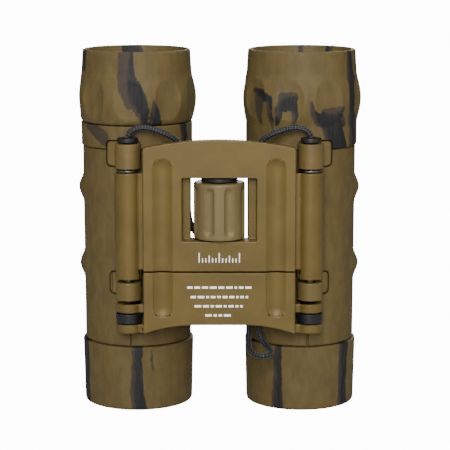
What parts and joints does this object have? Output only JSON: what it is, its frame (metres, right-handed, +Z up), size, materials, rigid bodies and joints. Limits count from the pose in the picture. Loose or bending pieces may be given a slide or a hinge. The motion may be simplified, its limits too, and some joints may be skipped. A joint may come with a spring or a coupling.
{
  "type": "binoculars",
  "caption": "Compact folding binoculars: two rubber-armoured barrels hinged to a bridge with a central focus wheel, sliding objectives, dioptre ring and neck cord.",
  "frame": {"origin": "middle of the base, measured without the neck cord: the objectives' rubber sleeves stand on z = 0", "axes": "+Z up along both optical axes towards the eyepieces, -Y the front face with the focus wheel, +X the right of someone who looks at that face"},
  "size_m": [0.0874, 0.047, 0.11],
  "materials": {
    "bridge_paint": "satin khaki paint on a moulded bridge",
    "barrel_paint": "satin khaki paint on the barrel tubes and knuckles",
    "wheel_paint": "light tan, fluted, satin",
    "armour_rubber": "matte olive brown rubber with a dark marbled camouflage print",
    "black_plastic": "black moulded plastic",
    "black_metal": "black anodised",
    "steel": "ground steel pin",
    "brass": "turned brass",
    "prism_glass": "polished clear glass",
    "coated_lens": "coated glass, faint violet reflection",
    "cord": "black braided cord"
  },
  "bodies": {
    "bridge": {"upper_bridge": "bridge_paint", "hinge_pin_left": "steel", "hinge_pin_right": "steel", "hinge_washer_left": "steel", "hinge_washer_right": "steel", "strap_plug_left": "black_plastic", "strap_plug_right": "black_plastic", "cord_lead_left": "cord", "cord_lead_right": "cord", "cord_hank": "cord", "cord_tie": "black_plastic"},
    "focus_wheel": {"focus_wheel": "wheel_paint", "wheel_collar": "black_plastic", "focus_spindle": "steel"},
    "focus_plate": {"lower_bridge": "bridge_paint", "focus_nut": "brass", "ear_pin_left": "steel", "ear_pin_right": "steel"},
    "left_barrel": {"barrel_tube_left": "barrel_paint", "armour_left": "armour_rubber", "objective_sleeve_left": "armour_rubber", "prism_cage_left": "black_plastic", "half_prism_left": "prism_glass", "roof_prism_left": "prism_glass", "field_stop_left": "black_metal", "eyepiece_housing_left": "black_plastic", "eyepiece_collar_left": "armour_rubber"},
    "right_barrel": {"barrel_tube_right": "barrel_paint", "armour_right": "armour_rubber", "objective_sleeve_right": "armour_rubber", "prism_cage_right": "black_plastic", "half_prism_right": "prism_glass", "roof_prism_right": "prism_glass", "field_stop_right": "black_metal", "eyepiece_housing_right": "black_plastic", "eyecup_right": "armour_rubber", "eyepiece_cell_right": "black_metal", "field_lens_right": "coated_lens", "lens_spacer_right": "black_metal", "eye_lens_right": "coated_lens", "eyepiece_ring_right": "black_metal"},
    "left_objective": {"objective_carrier_left": "black_plastic", "objective_crown_left": "coated_lens", "objective_flint_left": "coated_lens", "objective_ring_left": "black_metal"},
    "right_objective": {"objective_carrier_right": "black_plastic", "objective_crown_right": "coated_lens", "objective_flint_right": "coated_lens", "objective_ring_right": "black_metal"},
    "dioptre_ring": {"eyecup_left": "armour_rubber", "dioptre_sleeve": "black_metal"},
    "dioptre_optics": {"eyepiece_cell_left": "black_metal", "field_lens_left": "coated_lens", "lens_spacer_left": "black_metal", "eye_lens_left": "coated_lens", "eyepiece_ring_left": "black_metal"}
  },
  "joints": [
    {"name": "left_fold", "type": "hinge", "parent": "bridge", "child": "left_barrel", "pos_m": [-0.02724, -0.0158, 0.06], "axis": [0, 0, 1], "range_deg": [-13.5, 29.8]},
    {"name": "right_fold", "type": "hinge", "parent": "bridge", "child": "right_barrel", "pos_m": [0.02736, -0.0158, 0.06], "axis": [0, 0, 1], "range_deg": [-29.8, 13.5]},
    {"name": "focus_turn", "type": "hinge", "parent": "bridge", "child": "focus_wheel", "pos_m": [0.00006, -0.0158, 0.0633], "axis": [0, 0, 1], "range_deg": [0, 400]},
    {"name": "focus_slide", "type": "slide", "parent": "bridge", "child": "focus_plate", "axis": [0, 0, -1], "range_m": [0, 0.0032]},
    {"name": "left_objective_slide", "type": "slide", "parent": "left_barrel", "child": "left_objective", "axis": [0, 0, -1], "range_m": [0, 0.0032]},
    {"name": "right_objective_slide", "type": "slide", "parent": "right_barrel", "child": "right_objective", "axis": [0, 0, -1], "range_m": [0, 0.0032]},
    {"name": "dioptre_turn", "type": "hinge", "parent": "left_barrel", "child": "dioptre_ring", "pos_m": [-0.02529, 0.00511, 0.096], "axis": [0, 0, 1], "range_deg": [-45, 45]},
    {"name": "dioptre_slide", "type": "slide", "parent": "left_barrel", "child": "dioptre_optics", "axis": [0, 0, 1], "range_m": [-0.0009, 0.0009]}
  ],
  "couplings": [
    {"joint": "focus_slide", "follows": "focus_turn", "m_per_rad": 0.000457},
    {"joint": "left_objective_slide", "follows": "focus_turn", "m_per_rad": 0.000457},
    {"joint": "right_objective_slide", "follows": "focus_turn", "m_per_rad": 0.000457},
    {"joint": "dioptre_slide", "follows": "dioptre_turn", "m_per_rad": 0.001145}
  ]
}
